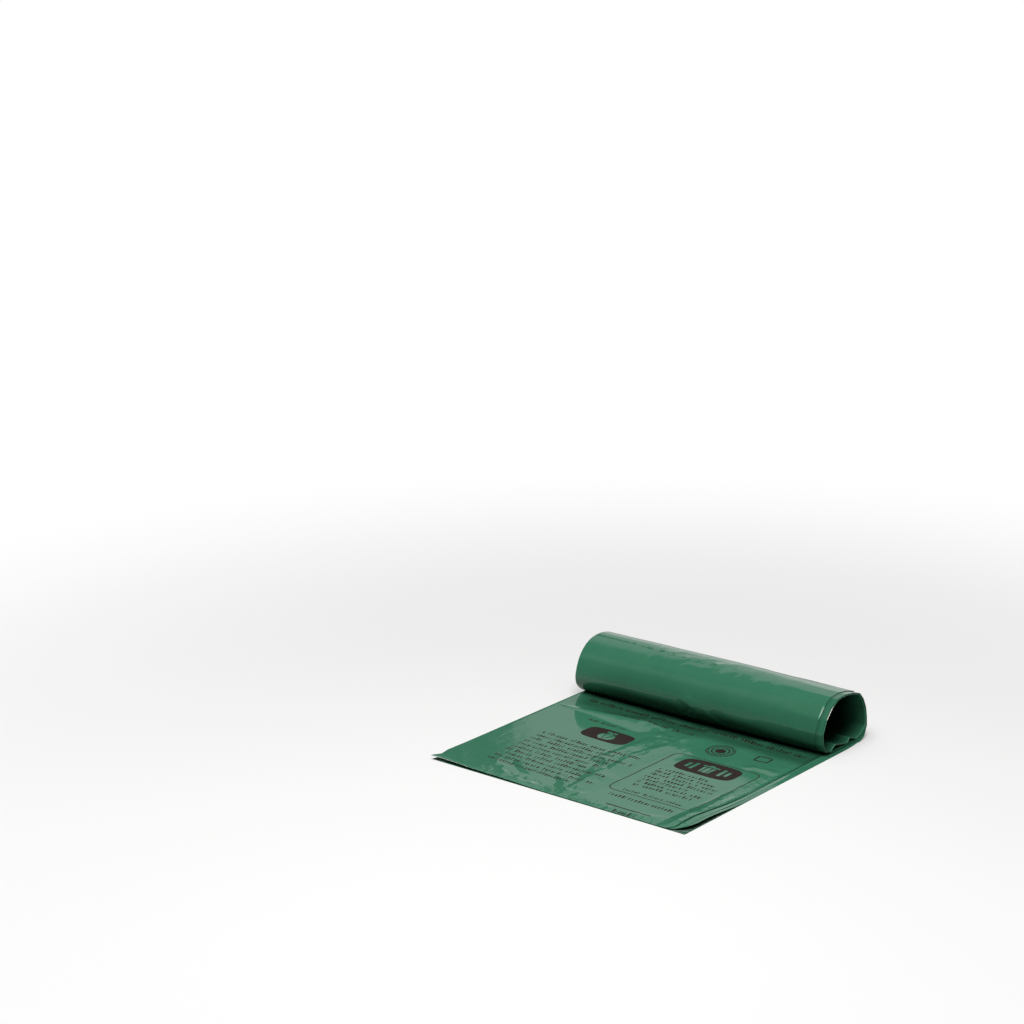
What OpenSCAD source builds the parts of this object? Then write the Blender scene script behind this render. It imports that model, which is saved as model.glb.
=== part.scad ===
// Roll of gusseted polythene bin bags, wound without a core and partly unrolled.
// X runs along the roll, Y from the torn edge of the free bag to the roll, Z up.
// The origin is on the floor, under the middle of the whole thing.

/* [Web] */
// Width of the folded bag tube, which is the length of the roll
web_w = 420; // [360:10:520]
// One wall of the tube, with the air that clings to it
film_t = 0.3; // [0.25:0.05:0.4]
// Gap inside each side gusset
gusset_gap = 0.3; // [0.2:0.05:0.4]
// How far each gusset is pushed in from the side
gusset_d = 140; // [60:5:170]

/* [Free bag] */
// From the torn edge to the line where the roll touches the floor side
free_l = 353; // [200:1:500]
// How far the upper panel stands back from the side at the open end
panel_inset = 12; // [6:1:20]
// How far from its tip each front corner starts to lift
corner_reach = 48; // [30:1:70]
// Lift of the front corner at the far end
far_lift = 5; // [2:0.5:8]
// Lift of the front corner at the open end
near_lift = 3; // [2:0.5:8]
// Rounding of the lifted corners
corner_r = 14; // [8:1:20]

/* [Roll] */
// Depth of the slumped roll, front to back
roll_d = 122; // [100:1:150]
// Height of the slumped roll
roll_h = 82; // [60:1:110]
// Turns of web on the roll, the last part turn being the loose inner end
turns = 3.3; // [2.3:1:4.3]
// Air between one turn and the next
turn_gap = 0.3; // [0.2:0.05:0.5]
// How far the outer skin stands back from the rim at the open end
skin_inset = 12; // [6:1:20]
// Height of the ripples where the inner turns lie slack on the bottom
ripple_h = 7; // [3:0.5:10]
// Ripples along the slack bottom
ripples = 2; // [1:1:3]

/* [Hidden] */

// The slumped outline as shares of half the depth and half the height, from where the web
// leaves the floor at the back, up the back, over the top and down the front to the floor
slump = [
    [0.56, -1.00], [0.84, -0.88], [1.00, -0.65], [0.98, -0.30], [0.90, 0.08],
    [0.79, 0.45], [0.64, 0.73], [0.36, 0.91], [0.02, 1.00], [-0.34, 0.97],
    [-0.64, 0.76], [-0.86, 0.36], [-0.99, -0.14], [-0.95, -0.57], [-0.80, -0.87],
    [-0.59, -1.00]
];
bends = len(slump) - 1;
// Points along each stretch between two places of the outline, and along the flat bottom
steps = 3;
bottom_steps = 12;
// Share of a turn over which the web climbs onto the turn below it
climb_share = 0.75;
// Turn from which the ripples are at their full height
full_ripple_turn = 2;

web_t = 2 * film_t + gusset_gap;
pitch = web_t + turn_gap;
half_d = roll_d / 2;
half_h = roll_h / 2;
roll_y = free_l - slump[bends].x * half_d;
upper_z = film_t + gusset_gap;
// Overshoot that keeps cutting faces clear of the faces they cut
over = 1;
turn_steps = bends * steps + bottom_steps;
// Share of one turn that the rounded outline takes, the rest being the flat bottom
round_share = bends * steps / turn_steps;
path_steps = round(turns * turn_steps);
// The skin's step ends a little before the roll touches the free bag
skin_steps = (bends - 1) * steps;
upper_x = web_w / 2 - panel_inset;
corner_leg = corner_reach * sqrt(2);
// How far the lifted corners start inside the panel, along it and below its faces
root_l = 1;
root_step = 0.05;
corner_t = film_t - 2 * root_step;

// A smooth curve through b and c, with a and d as its neighbours
function blend(a, b, c, d, t) =
    b + (c - a) * t / 2 + (2 * a - 5 * b + 4 * c - d) * t * t / 2
    + (3 * b - a - 3 * c + d) * t * t * t / 2;

// Places of the outline, with the flat bottom continued past both its ends
function place(i) =
    i < 0 ? [slump[0].x - (slump[1].x - slump[0].x), -1]
    : i > bends ? [slump[bends].x - (slump[bends - 1].x - slump[bends].x), -1]
    : slump[i];

// The rounded part of the outline at a share f of its length
function rounded(f) =
    let (at = f * bends, i = min(floor(at), bends - 1))
    blend(place(i - 1), place(i), place(i + 1), place(i + 2), at - i);

// The whole outline at a share f of one turn
function outline(f) =
    f <= round_share ? rounded(f / round_share)
    : slump[bends] + (slump[0] - slump[bends]) * (f - round_share) / (1 - round_share);

// Slack of the inner turns on the bottom, as a height
function slack(f, turn) =
    f <= round_share ? 0
    : ripple_h * min(1, turn / full_ripple_turn)
        * pow(sin(180 * ripples * (f - round_share) / (1 - round_share)), 2);

// A point of the web after s turns, at a depth inside the web's outer face
function on_web(s, depth) =
    let (
        turn = floor(s),
        f = s - turn,
        inside = pitch * (turn + min(1, f / climb_share)) + depth,
        p = outline(f)
    )
    [
        roll_y + p.x * (half_d - inside),
        half_h + p.y * (half_h - inside) + slack(f, turn)
    ];

function turn_points(first, last, depth) =
    [for (i = [first:last]) on_web(i / turn_steps, depth)];

function backwards(list) = [for (i = [len(list) - 1:-1:0]) list[i]];

// The web's outer face on the roll, and the back of the whole thing
outer_face = turn_points(0, path_steps, 0);
back_y = max([for (p = outer_face) p.x]);

// Section of the web between two depths, from the torn edge to a number of steps on the roll
function web_section(top, bottom, last) = concat(
    [[0, bottom]],
    turn_points(0, last, bottom),
    backwards(turn_points(0, last, top)),
    [[0, top]]
);

module along_roll(width) {
    rotate([90, 0, 90]) linear_extrude(width, center = true) children();
}

// The web with its gussets pushed in along both sides
module gusseted_web() {
    difference() {
        along_roll(web_w) polygon(web_section(web_t, 0, path_steps));
        for (side = [-1, 1]) {
            translate([side * (web_w - gusset_d + over) / 2, -over, 0])
                along_roll(gusset_d + over)
                    polygon(web_section(upper_z, film_t, path_steps));
        }
    }
}

// What the outer skin lacks at the open end, from the back of the roll to its front
module skin_step() {
    translate([(web_w - skin_inset + over) / 2, 0, 0])
        along_roll(skin_inset + over)
            polygon(concat(
                turn_points(1, skin_steps, -over),
                backwards(turn_points(1, skin_steps, upper_z))
            ));
}

// What the upper panel of the free bag lacks at the open end
module panel_step() {
    translate([upper_x, -over, film_t])
        cube([panel_inset + over, free_l + over, web_t]);
}

// A front corner as seen from above, with its tip at the origin
module corner_area(leg, rounding) {
    difference() {
        polygon([[0, 0], [-leg, 0], [0, leg]]);
        difference() {
            translate([-rounding, 0]) square(rounding);
            translate([-rounding, rounding]) circle(rounding, $fn = 48);
        }
    }
}

// What the flat upper panel lacks where its corner lifts
module corner_cut() {
    translate([0, 0, film_t]) linear_extrude(web_t) polygon([
        [over, -over], [-corner_leg, -over], [-corner_leg, 0], [0, corner_leg], [over, corner_leg]
    ]);
}

// The upper panel's corner, bent up about a line across it. It springs from within the
// panel's thickness, a little behind the line.
module lifted_corner(lift) {
    bend_r = (corner_reach * corner_reach + lift * lift) / (2 * lift);
    fold = corner_reach / sqrt(2);
    root_turn = asin(root_l / bend_r);
    intersection() {
        translate([0, 0, film_t])
            linear_extrude(lift + web_t) corner_area(corner_leg + root_l * sqrt(2), corner_r);
        translate([-fold, fold, upper_z + root_step + bend_r])
            rotate([0, 0, -135]) rotate([0, 90, 0]) rotate([0, 0, -root_turn])
            rotate_extrude(angle = asin(corner_reach / bend_r) + root_turn, $fn = 96)
            translate([bend_r - corner_t, -corner_leg]) square([corner_t, 2 * corner_leg]);
    }
}

// The web as it lies: one end wound up, the other end free with its corners lifted
module bag_roll() {
    color("seagreen") translate([0, -back_y / 2, 0]) {
        difference() {
            gusseted_web();
            skin_step();
            panel_step();
            translate([upper_x, 0, 0]) corner_cut();
            translate([-web_w / 2, 0, 0]) mirror([1, 0, 0]) corner_cut();
        }
        translate([upper_x, 0, 0]) lifted_corner(near_lift);
        translate([-web_w / 2, 0, 0]) mirror([1, 0, 0]) lifted_corner(far_lift);
    }
}

bag_roll();
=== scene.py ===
import math
from functools import partialmethod

import bpy
import numpy as np
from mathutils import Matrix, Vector


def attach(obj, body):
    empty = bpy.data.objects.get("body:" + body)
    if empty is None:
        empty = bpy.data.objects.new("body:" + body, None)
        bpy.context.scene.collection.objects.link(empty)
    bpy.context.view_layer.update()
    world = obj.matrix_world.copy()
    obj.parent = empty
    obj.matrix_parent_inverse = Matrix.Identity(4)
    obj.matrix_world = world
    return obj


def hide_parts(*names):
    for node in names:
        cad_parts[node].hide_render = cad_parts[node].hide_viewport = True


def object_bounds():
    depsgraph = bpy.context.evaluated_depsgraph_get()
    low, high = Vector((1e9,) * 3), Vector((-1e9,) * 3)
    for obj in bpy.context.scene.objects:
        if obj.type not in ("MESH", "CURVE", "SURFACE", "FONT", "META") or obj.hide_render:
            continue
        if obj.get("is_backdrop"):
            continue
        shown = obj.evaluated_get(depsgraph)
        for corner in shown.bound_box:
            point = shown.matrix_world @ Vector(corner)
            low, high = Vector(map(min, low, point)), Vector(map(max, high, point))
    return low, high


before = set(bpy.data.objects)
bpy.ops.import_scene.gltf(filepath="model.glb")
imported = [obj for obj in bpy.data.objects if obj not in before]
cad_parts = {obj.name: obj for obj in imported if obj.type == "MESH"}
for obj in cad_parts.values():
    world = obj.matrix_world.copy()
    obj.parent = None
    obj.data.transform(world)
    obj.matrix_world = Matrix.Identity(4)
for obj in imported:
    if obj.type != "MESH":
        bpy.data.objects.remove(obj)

mm = 0.001
tiny = 1e-9  # the least length that is divided by
boxLow, boxHigh = (np.array(corner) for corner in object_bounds())
rollLength = (boxHigh[0] - boxLow[0]) / mm
backY = (boxHigh[1] - boxLow[1]) / mm  # from the torn edge to the back of the roll
endX = rollLength / 2  # the open end; the far end is at -endX
originY = -boxLow[1] / mm  # the torn edge stands this far in front of the origin
print(f"frame: roll {rollLength:.0f} mm long, {backY:.0f} mm from the torn edge to the back")

# Camera: the photograph's own viewpoint, found from the four corners of the free bag and two
# lines along the roll. Places are in mm from the far end, the torn edge and the floor.
camera = {
    "place": (2167.1, -2564.4, 1263.4),
    "turn": 38.34,  # degrees, towards the far end
    "tip": 15.2,  # degrees below the horizon
    "lens": 91.4,
}


# A new object for some data, put into the scene.
def addObject(name, data):
    made = bpy.data.objects.new(name, data)
    bpy.context.scene.collection.objects.link(made)
    return made


def makeCamera(c):
    data = bpy.data.cameras.new("photoCamera")
    data.lens = c["lens"]
    data.sensor_width = 36
    data.clip_start, data.clip_end = 0.05, 60
    cam = addObject("photoCamera", data)
    cam.location = ((c["place"][0] - endX) * mm, (c["place"][1] - originY) * mm, c["place"][2] * mm)
    cam.rotation_euler = (math.radians(90 - c["tip"]), 0, math.radians(c["turn"]))
    bpy.context.scene.camera = cam


makeCamera(camera)


# Soft step: 0 below low, 1 above high, and 3t² - 2t³ between them.
def ease(value, low, high):
    t = np.clip((value - low) / (high - low), 0, 1)
    return t * t * (3 - 2 * t)


# A bell: e to the power of minus the square of the distance from its middle, in half widths.
def bell(value, middle, half):
    return np.exp(-(((value - middle) / half) ** 2))


# Where places lie from a line: how far along it, how far to the right of it, and its length.
def fromLine(x, y, start, end):
    ax, ay = start
    bx, by = end
    length = math.hypot(bx - ax, by - ay)
    along = ((x - ax) * (bx - ax) + (y - ay) * (by - ay)) / length
    across = ((x - ax) * (by - ay) - (y - ay) * (bx - ax)) / length
    return along, across, length


crease = {
    "soft": 1.2,  # mm over which its edges are rounded
    "hip": 0.35,  # share of its length over which each end closes
    "hipStart": 0.25,  # share of its height at which the end starts
    "tentSoft": 0.01,
}


# A crease between two points, as a hipped roof: one slope falls over `left` mm on the left of its
# line, one over `right` mm on the right, and a hip closes each end. soft rounds its edges, in mm.
def roof(x, y, start, end, height, left, right, soft=crease["soft"]):
    along, across, length = fromLine(x, y, start, end)
    wide = np.where(across > 0, right, left)
    slope = 1 - (np.sqrt(across**2 + soft**2) - soft) / wide
    hip = np.minimum(along, length - along) / (crease["hip"] * length) + crease["hipStart"]
    inside = np.minimum(slope, np.minimum(hip, 1))
    k = soft / (left + right)
    return height * (inside + np.sqrt(inside**2 + k**2)) / 2


# A crease whose crest climbs from one height to another, with a steady fall per mm on each side and
# past its end.
def tent(x, y, start, end, heights, falls):
    soft = crease["soft"]
    along, across, length = fromLine(x, y, start, end)
    crest = heights[0] + (heights[1] - heights[0]) * along / length
    crest = np.minimum(crest, heights[1] - (along - length) * falls[2])
    side = np.where(across > 0, falls[1], falls[0])
    above = crest - side * (np.sqrt(across**2 + soft**2) - soft)
    return (above + np.sqrt(above**2 + crease["tentSoft"])) / 2


# Many small seeded creases over a field: each a roof with its own place, turn, length and height.
def scatter(x, y, s):
    rng = np.random.default_rng(s["seed"])
    total = np.zeros(np.broadcast(x, y).shape)
    for _ in range(s["count"]):
        middle = rng.uniform(s["low"], s["high"])
        turn = math.radians(rng.normal(s["turn"], s["spread"]))
        half = rng.uniform(*s["length"]) / 2 * np.array([math.cos(turn), math.sin(turn)])
        height = rng.uniform(*s["height"]) * rng.choice([1, -1], p=[0.7, 0.3])  # some are dents
        left, right = rng.uniform(*s["width"], 2)
        total += roof(x, y, middle - half, middle + half, height, left, right)
    return total


# Soft swells: the mean of plain cosines in seeded directions, each about `size` mm long.
def swell(x, y, size, count, seed):
    rng = np.random.default_rng(seed)
    total = np.zeros(np.broadcast(x, y).shape)
    angles = rng.uniform(0, np.pi, count)
    phases = rng.uniform(0, 2 * np.pi, count)
    stretches = rng.uniform(0.6, 1.7, count)
    for angle, phase, stretch in zip(angles, phases, stretches):
        way = x * np.cos(angle) + y * np.sin(angle)
        total += np.cos(way * 2 * np.pi / (size * stretch) + phase)
    return total / count


# Length of web from a film's start to each place, summed over the steps of its middle line.
def webRun(yz):
    steps = np.linalg.norm(np.diff(yz[len(yz) // 2], axis=0), axis=1)
    return np.concatenate([[0], np.cumsum(steps)])


# The film laid flat, in metres: its places across the web and along it on one grid.
def flatWeb(across, along, shape):
    return np.stack([np.broadcast_to(across, shape), np.broadcast_to(along, shape)], -1) * mm


filmMarks = ("tearAndPaintedReflection", "edge", "shade", "crumple")


# A thin closed film on a grid of places: both faces stand half the thickness off the grid along
# the cross product of its two directions, a rim of quads joins them all round, and the edges
# between face and rim are sharp. marks are values on the film from 0 to 1, for its material.
def makeFilm(name, places, thickness, flatMap, marks):
    nu, nv = places.shape[:2]
    across = np.gradient(places, axis=0)
    along = np.gradient(places, axis=1)
    normal = np.cross(across, along)
    normal /= np.maximum(np.linalg.norm(normal, axis=2, keepdims=True), tiny)
    both = [places + side * normal * thickness / 2 for side in (1, -1)]
    faces = np.concatenate([half.reshape(-1, 3) for half in both])
    number = np.arange(nu * nv).reshape(nu, nv)
    under = number + nu * nv
    top = [number[:-1, :-1], number[1:, :-1], number[1:, 1:], number[:-1, 1:]]
    top = np.stack(top, -1).reshape(-1, 4)
    quads = [top, top[:, [0, 3, 2, 1]] + nu * nv]  # both faces are split along the same diagonal
    for upper, lower in (
        (number[:, 0], under[:, 0]), (number[::-1, -1], under[::-1, -1]),
        (number[0, ::-1], under[0, ::-1]), (number[-1, :], under[-1, :]),
    ):
        quads.append(np.stack([upper[:-1], lower[:-1], lower[1:], upper[1:]], -1))
    quads = np.concatenate(quads)
    mesh = bpy.data.meshes.new(name)
    mesh.vertices.add(len(faces))
    mesh.vertices.foreach_set("co", ((faces - [0, originY, 0]) * mm).ravel())
    mesh.loops.add(quads.size)
    mesh.loops.foreach_set("vertex_index", quads.ravel())
    mesh.polygons.add(len(quads))
    mesh.polygons.foreach_set("loop_start", np.arange(0, quads.size, 4))
    mesh.update(calc_edges=True)
    mesh.shade_smooth()
    flat = np.tile(flatMap.reshape(-1, 2), (2, 1))
    mesh.uv_layers.new(name="filmMap").data.foreach_set("uv", flat[quads.ravel()].ravel())
    for mark, values in {**dict.fromkeys(filmMarks, 0.0), **marks}.items():
        twice = np.tile(np.broadcast_to(values, (nu, nv)).ravel(), 2).astype(np.float32)
        mesh.attributes.new(mark, "FLOAT", "POINT").data.foreach_set("value", twice)
    onRim = np.pad(np.zeros((nu - 2, nv - 2), bool), 1, constant_values=True)
    onRim = np.tile(onRim.ravel(), 2)
    ends = np.zeros(len(mesh.edges) * 2, np.int64)
    mesh.edges.foreach_get("vertices", ends)
    ends = ends.reshape(-1, 2)
    sharp = onRim[ends].all(1) & ((ends[:, 0] < nu * nv) == (ends[:, 1] < nu * nv))
    mesh.attributes.new("sharp_edge", "BOOLEAN", "EDGE").data.foreach_set("value", sharp)
    return addObject(name, mesh)


# Roll: the slumped outline at each end, in mm from the torn edge and the floor. It starts where
# the web leaves the floor at the back, climbs the back, crosses the top and comes down the front.
roll = {
    "nearOutline": [
        (423, 0), (438, 4), (450.5, 14.5), (450, 29), (447.5, 43.5), (440.5, 58.5), (430, 70),
        (411, 76), (391, 79), (369, 78), (352, 69.5), (337.5, 54), (329, 34.5), (331, 17),
        (339, 5.5), (353, 0),
    ],
    "farOutline": [
        (420, 0), (438, 4), (447, 14), (449.8, 29), (448, 45), (441, 60), (429, 72), (413, 79),
        (393, 81.4), (372, 79), (353, 71), (338.5, 59.5), (328.5, 43), (326, 27.5), (333, 12), (348, 0),
    ],
    "nearFrom": 0.45,  # share of the length where the far outline starts to turn into the near one
    "straight": 0.9,  # how far the open end's outline is straight between its places
    "straightFrom": 0.72,  # share of the length where that starts
    "middle": (389, 41),  # what the turns shrink towards
    "half": (61, 41),  # half the roll's depth and height
    "roundShare": 0.8,  # share of a turn on the rounded outline, the rest being the flat bottom
    "climbShare": 0.75,  # share of a turn over which it climbs inwards by one pitch
    "firstClimb": 1.05,  # the first turn climbs onto the free bag's four layers
    "pitch": 0.55,  # mm from turn to turn
    "turns": 6.3,
    "film": 0.06,  # mm thick
    "skinInset": 12,  # how far the skin stands back from the open end's rim
    "farReach": (1.2, 5.8),  # how far the skin stands out at the far end, and further on top
    "onBag": 1.3,  # height at which the front of the roll rests on the free bag
    "farRise": (4.0, 190),  # how high the far side of the bags stands, and how far along it reaches
    "riseEnds": (384, 350),  # where the rise has ended under the roll, and where it is full
    "riseBelow": 26,  # the roll's own film takes the rise up below this height
    "foldBack": 20,  # width of the edges that are folded in
    "foldGap": 0.14,  # from a film to its folded edge
}


# The stretch of an outline in which each share from 0 to 1 falls, and how far along it, t.
def stretchAt(outline, share):
    count = outline.shape[-2] - 1
    at = np.clip(share, 0, 1) * count
    i = np.minimum(at.astype(int), count - 1)
    return i, (at - i)[..., None]


# A smooth curve through its places, each stretch being the cubic with t = 0 to 1 whose slopes are
# half the way between the neighbours. outline is (..., count, 2).
def smoothCurve(outline, share):
    i, t = stretchAt(outline, share)
    first = outline[..., :1, :] * 2 - outline[..., 1:2, :]
    last = outline[..., -1:, :] * 2 - outline[..., -2:-1, :]
    first[..., 1] = outline[..., :1, 1]
    last[..., 1] = outline[..., -1:, 1]
    full = np.concatenate([first, outline, last], -2)
    a, b, c, d = (np.take_along_axis(full, (i + k)[..., None], -2) for k in range(4))
    square = (2 * a - 5 * b + 4 * c - d) * t**2 / 2
    return b + (c - a) * t / 2 + square + (3 * b - a - 3 * c + d) * t**3 / 2


# The same places joined by straight stretches.
def straightCurve(outline, share):
    i, t = stretchAt(outline, share)
    b, c = (np.take_along_axis(outline, (i + k)[..., None], -2) for k in range(2))
    return b + (c - b) * t


# The web on the roll after s turns, on an (x, s) grid: the outline of each place along the roll,
# shrunk towards the middle by `depth` and by the layers outside it. slack lifts its flat bottom.
def rollPlaces(x, s, depth=0.0, slack=None):
    near, far = (np.array(roll[k], float) for k in ("nearOutline", "farOutline"))
    alongRoll = x / rollLength + 0.5
    weight = ease(alongRoll, roll["nearFrom"], 1.0)[:, None, None]
    outlines = far + (near - far) * weight
    turn = np.floor(s)
    f = s - turn
    grown = np.minimum(1, f / roll["climbShare"])
    first, pitch = roll["firstClimb"], roll["pitch"]
    inside = np.where(turn < 1, first * grown, first + pitch * (turn - 1 + grown)) + depth
    share = np.broadcast_to(np.minimum(f / roll["roundShare"], 1), (len(x), s.shape[-1]))
    rounded = smoothCurve(outlines, share)
    straight = ease(alongRoll, roll["straightFrom"], 1.0)[:, None, None] * roll["straight"]
    rounded = rounded + (straightCurve(outlines, share) - rounded) * straight
    q = np.clip((f - roll["roundShare"]) / (1 - roll["roundShare"]), 0, 1)[..., None]
    rounded = rounded + (outlines[:, :1] - outlines[:, -1:]) * q
    inside = np.broadcast_to(inside, share.shape)[..., None]
    middle, half = (np.array(roll[k], float) for k in ("middle", "half"))
    yz = middle + (rounded - middle) * (1 - inside / half)
    if slack is not None:
        yz[..., 1] += slack(x[:, None], q[..., 0], turn)
    yz[..., 1] += farRise(x[:, None], yz[..., 0]) * ease(yz[..., 1], roll["riseBelow"], 0)
    return yz


# Height by which the far side of the bags under the roll's front stands off the floor: it falls
# evenly along the roll, and backwards under it.
def farRise(x, y):
    high, reach = roll["farRise"]
    return high * np.clip(1 - (x + endX) / reach, 0, 1) * ease(y, *roll["riseEnds"])


# Out of the roll: the outline's own direction turned by a right angle.
def outwards(yz):
    way = np.gradient(yz, axis=1)
    out = np.stack([way[..., 1], -way[..., 0]], -1)
    return out / np.maximum(np.linalg.norm(out, axis=2, keepdims=True), tiny)


# Skin: the free bag's lower panel and the outermost turn, one film with its edges folded in. Its
# profile across the web is carried along the floor, up the back, over the top and down the front.
skin = {
    "acrossStep": 2.6,  # mm between places across the web, and along it on the floor
    "floorStep": 6.0,
    "rollSteps": 190,
    "floorLift": 0.07,  # height of the film's middle over the floor
    "lastTurn": 0.83,  # where the skin ends under the roll
    "around": 340,  # mm of web in one turn
    "swells": [  # height, stretch around, size, count, seed
        (0.42, 1.8, 150, 8, 3), (0.13, 1.3, 58, 9, 14),
    ],
    "creases": [  # start and end in mm along the roll and share of the turn, height, left, right
        (96, 0.47, 128, 0.492, 0.5, 12, 14), (112, 0.488, 156, 0.478, 0.9, 12, 9),
        (120, 0.455, 148, 0.44, 0.7, 7, 8), (150, 0.482, 205, 0.446, 1.1, 8, 10),
        (168, 0.505, 196, 0.497, 0.8, 5, 7), (196, 0.512, 226, 0.48, 0.9, 5, 7),
        (214, 0.47, 246, 0.43, 0.8, 6, 8), (226, 0.52, 252, 0.5, 0.6, 5, 7),
        (250, 0.47, 290, 0.455, 0.6, 8, 10), (296, 0.5, 318, 0.488, 0.7, 5, 6),
        (330, 0.48, 372, 0.47, 0.5, 9, 10), (190, 0.64, 222, 0.706, 1.7, 8, 12),
        (205, 0.745, 236, 0.69, 1.5, 7, 7), (236, 0.7, 262, 0.738, 1.3, 6, 6),
        (180, 0.72, 214, 0.752, 0.9, 6, 8), (224, 0.66, 246, 0.7, 0.6, 5, 7),
        (262, 0.69, 330, 0.672, 0.6, 10, 12), (205, 0.712, 211, 0.716, 2.2, 4, 4),
        (40, 0.1, 130, 0.16, 0.7, 14, 20), (150, 0.2, 260, 0.17, 0.8, 12, 18),
        (210, 0.3, 300, 0.26, 0.7, 10, 16), (90, 0.33, 160, 0.29, 0.6, 9, 14),
        (300, 0.14, 390, 0.2, 0.7, 12, 16), (330, 0.32, 380, 0.35, 0.5, 8, 12),
    ],
    "small": {
        "seed": 12, "count": 46, "low": (70, 110), "high": (400, 260), "turn": 12, "spread": 38,
        "length": (14, 46), "width": (5, 14), "height": (0.04, 0.16),
    },
    "smallBack": {
        "seed": 31, "count": 26, "low": (30, 30), "high": (395, 118), "turn": 10, "spread": 40,
        "length": (18, 60), "width": (6, 16), "height": (0.05, 0.22),
    },
    "freeSpread": 6.5,  # the free bag's loose edge stands this far past the roll's end
    "freeSkew": 9.5,  # and its torn edge runs this far out of square
    "lieFrom": 0.2,  # the spread starts this share of half the length past the middle
    "spreadOver": (470, 380),  # from no spread to all of it, in mm from the torn edge
    "reachOver": (30, 345),
    "skewOver": (330, 0),
    "spreadEnds": (0.12, 0),  # and in shares of a turn, up the back
    "insetOver": (0.05, 0.3),  # where the skin draws back from the rim
    "topReach": ((0.22, 0.42), (0.67, 0.45)),  # where it reaches further out at the far end
    "crumple": 0.10,
    "crumples": [  # strength, middle, half width, power, where in the turn it comes and goes
        (0.75, 205, 105, 1, (0.38, 0.44), (0.55, 0.49)),
        (0.25, 212, 46, 1, (0.48, 0.54), (0.7, 0.62)),
        (0.9, 212, 46, 2, (0.6, 0.65), (0.79, 0.75)),
        (0.3, 180, 120, 1, (0.06, 0.14), (0.36, 0.28)),
    ],
    "floorCrumple": 0.12,
    "glint": ((0.520, 0.548), (0.600, 0.568)),  # where the fold at the open end catches the light
    "lowShades": [(0.16, 0.52, 0.64), (0.72, 0.64, 0.74)],  # towards the line where the roll rests
    "tipShades": (0.55, 0.25),  # under the raised near corner and the far one
    # painted reflection: paler film on the floor under the raised near corner
    "tipPaintedReflection": 0.42,
    "tornPale": 0.3,
}


# Where the free bag lies wider than the roll: outwards at the open side and forwards along it.
def freeLie(x, y):
    lieFrom = endX * skin["lieFrom"]
    near = ease(x, -lieFrom, endX) * ease(y, *skin["spreadOver"]) * skin["freeSpread"]
    far = ease(x, lieFrom, -endX) * ease(y, *skin["reachOver"]) * roll["farReach"][0]
    skew = skin["freeSkew"] * (x / rollLength + 0.5) * ease(y, *skin["skewOver"])
    return x + near - far, y - skew


# The profile across one folded film: in from one side, round the fold, across, round the other
# fold and in again. Returns the place across and the depth of each point. The folded edges have
# the same places across as the film over them, so that the two keep their distance.
def foldedProfile(left, right, step):
    foldBack, gap = roll["foldBack"], roll["foldGap"]
    turnR = gap / 2
    margin = turnR + 0.7
    arc = np.linspace(0, np.pi, 7)
    straight = np.linspace(left + margin, right - margin, int((right - left) / step))
    leftBack = straight[straight < left + foldBack][::-1]
    rightBack = straight[straight > right - foldBack][::-1]
    x = np.concatenate([
        leftBack, left + turnR - turnR * np.sin(arc), straight,
        right - turnR + turnR * np.sin(arc), rightBack,
    ])
    depth = np.concatenate([
        np.full(len(leftBack), gap), turnR + turnR * np.cos(arc), np.zeros(len(straight)),
        turnR - turnR * np.cos(arc), np.full(len(rightBack), gap),
    ])
    return x, depth


# Waves and creases of the outer skin, in mm outwards. a is the share of the turn.
def skinWaves(x, a):
    u = x + endX
    around = a * skin["around"]
    out = 0
    for height, stretch, size, count, seed in skin["swells"]:
        out = out + height * swell(u, around * stretch, size, count, seed)
    out = out * (0.25 + 0.75 * ease(u, 30, 150))
    for x1, a1, x2, a2, *others in skin["creases"]:
        start, end = (x1, a1 * skin["around"]), (x2, a2 * skin["around"])
        out = out + roof(u, around, start, end, *others)
    out = out + scatter(u, around, skin["small"]) * ease(u, 40, 120)
    out = out + scatter(u, around, skin["smallBack"])
    return out * ease(a, 0.02, 0.12) * ease(0.80 - a, 0.0, 0.05)


# Marks of the skin: pale torn edge, a painted reflection under the raised near corner, a painted glint
# on the fold at the open end, crumples as bells along the roll, and painted shade low on the front and
# under both corners. around is -1 on the floor, then the share of the turn; y is the place from the
# torn edge.
def skinMarks(profileX, y, run, around):
    k = skin
    u = profileX[:, None] + endX
    onFloor = ease(around, 0.0, -0.1)
    glint = ease(np.abs(profileX - endX), 1.2, 0.2)[:, None]
    for comes in k["glint"]:
        glint = glint * ease(around, *comes)
    crumple = k["crumple"]
    for strength, middle, half, power, comes, goes in k["crumples"]:
        field = strength * bell(u, middle, half) ** power
        crumple = crumple + field * ease(around, *comes) * ease(around, *goes)
    nearTip = ease(profileX, endX - 60, endX - 20)[:, None] * ease(y, 130, 60)
    farTip = ease(profileX, 90 - endX, 30 - endX)[:, None] * ease(y, 60, 20)
    tips = np.maximum(k["tipShades"][0] * nearTip, k["tipShades"][1] * farTip)
    torn = ease(-run, -1.5, 0.0) * k["tornPale"] * np.ones(y.shape)
    low = sum(strength * ease(around, *over) for strength, *over in k["lowShades"])
    return {
        # the torn edge is whitened; under the raised near corner the same paleness is a painted
        # reflection
        "tearAndPaintedReflection": np.maximum(torn, k["tipPaintedReflection"] * nearTip * onFloor),
        "edge": glint,
        "crumple": crumple * ease(around, 0.0, 0.1) + k["floorCrumple"] * onFloor,
        "shade": np.maximum(low * ease(u, 0, 100), tips * onFloor),
    }


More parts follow.
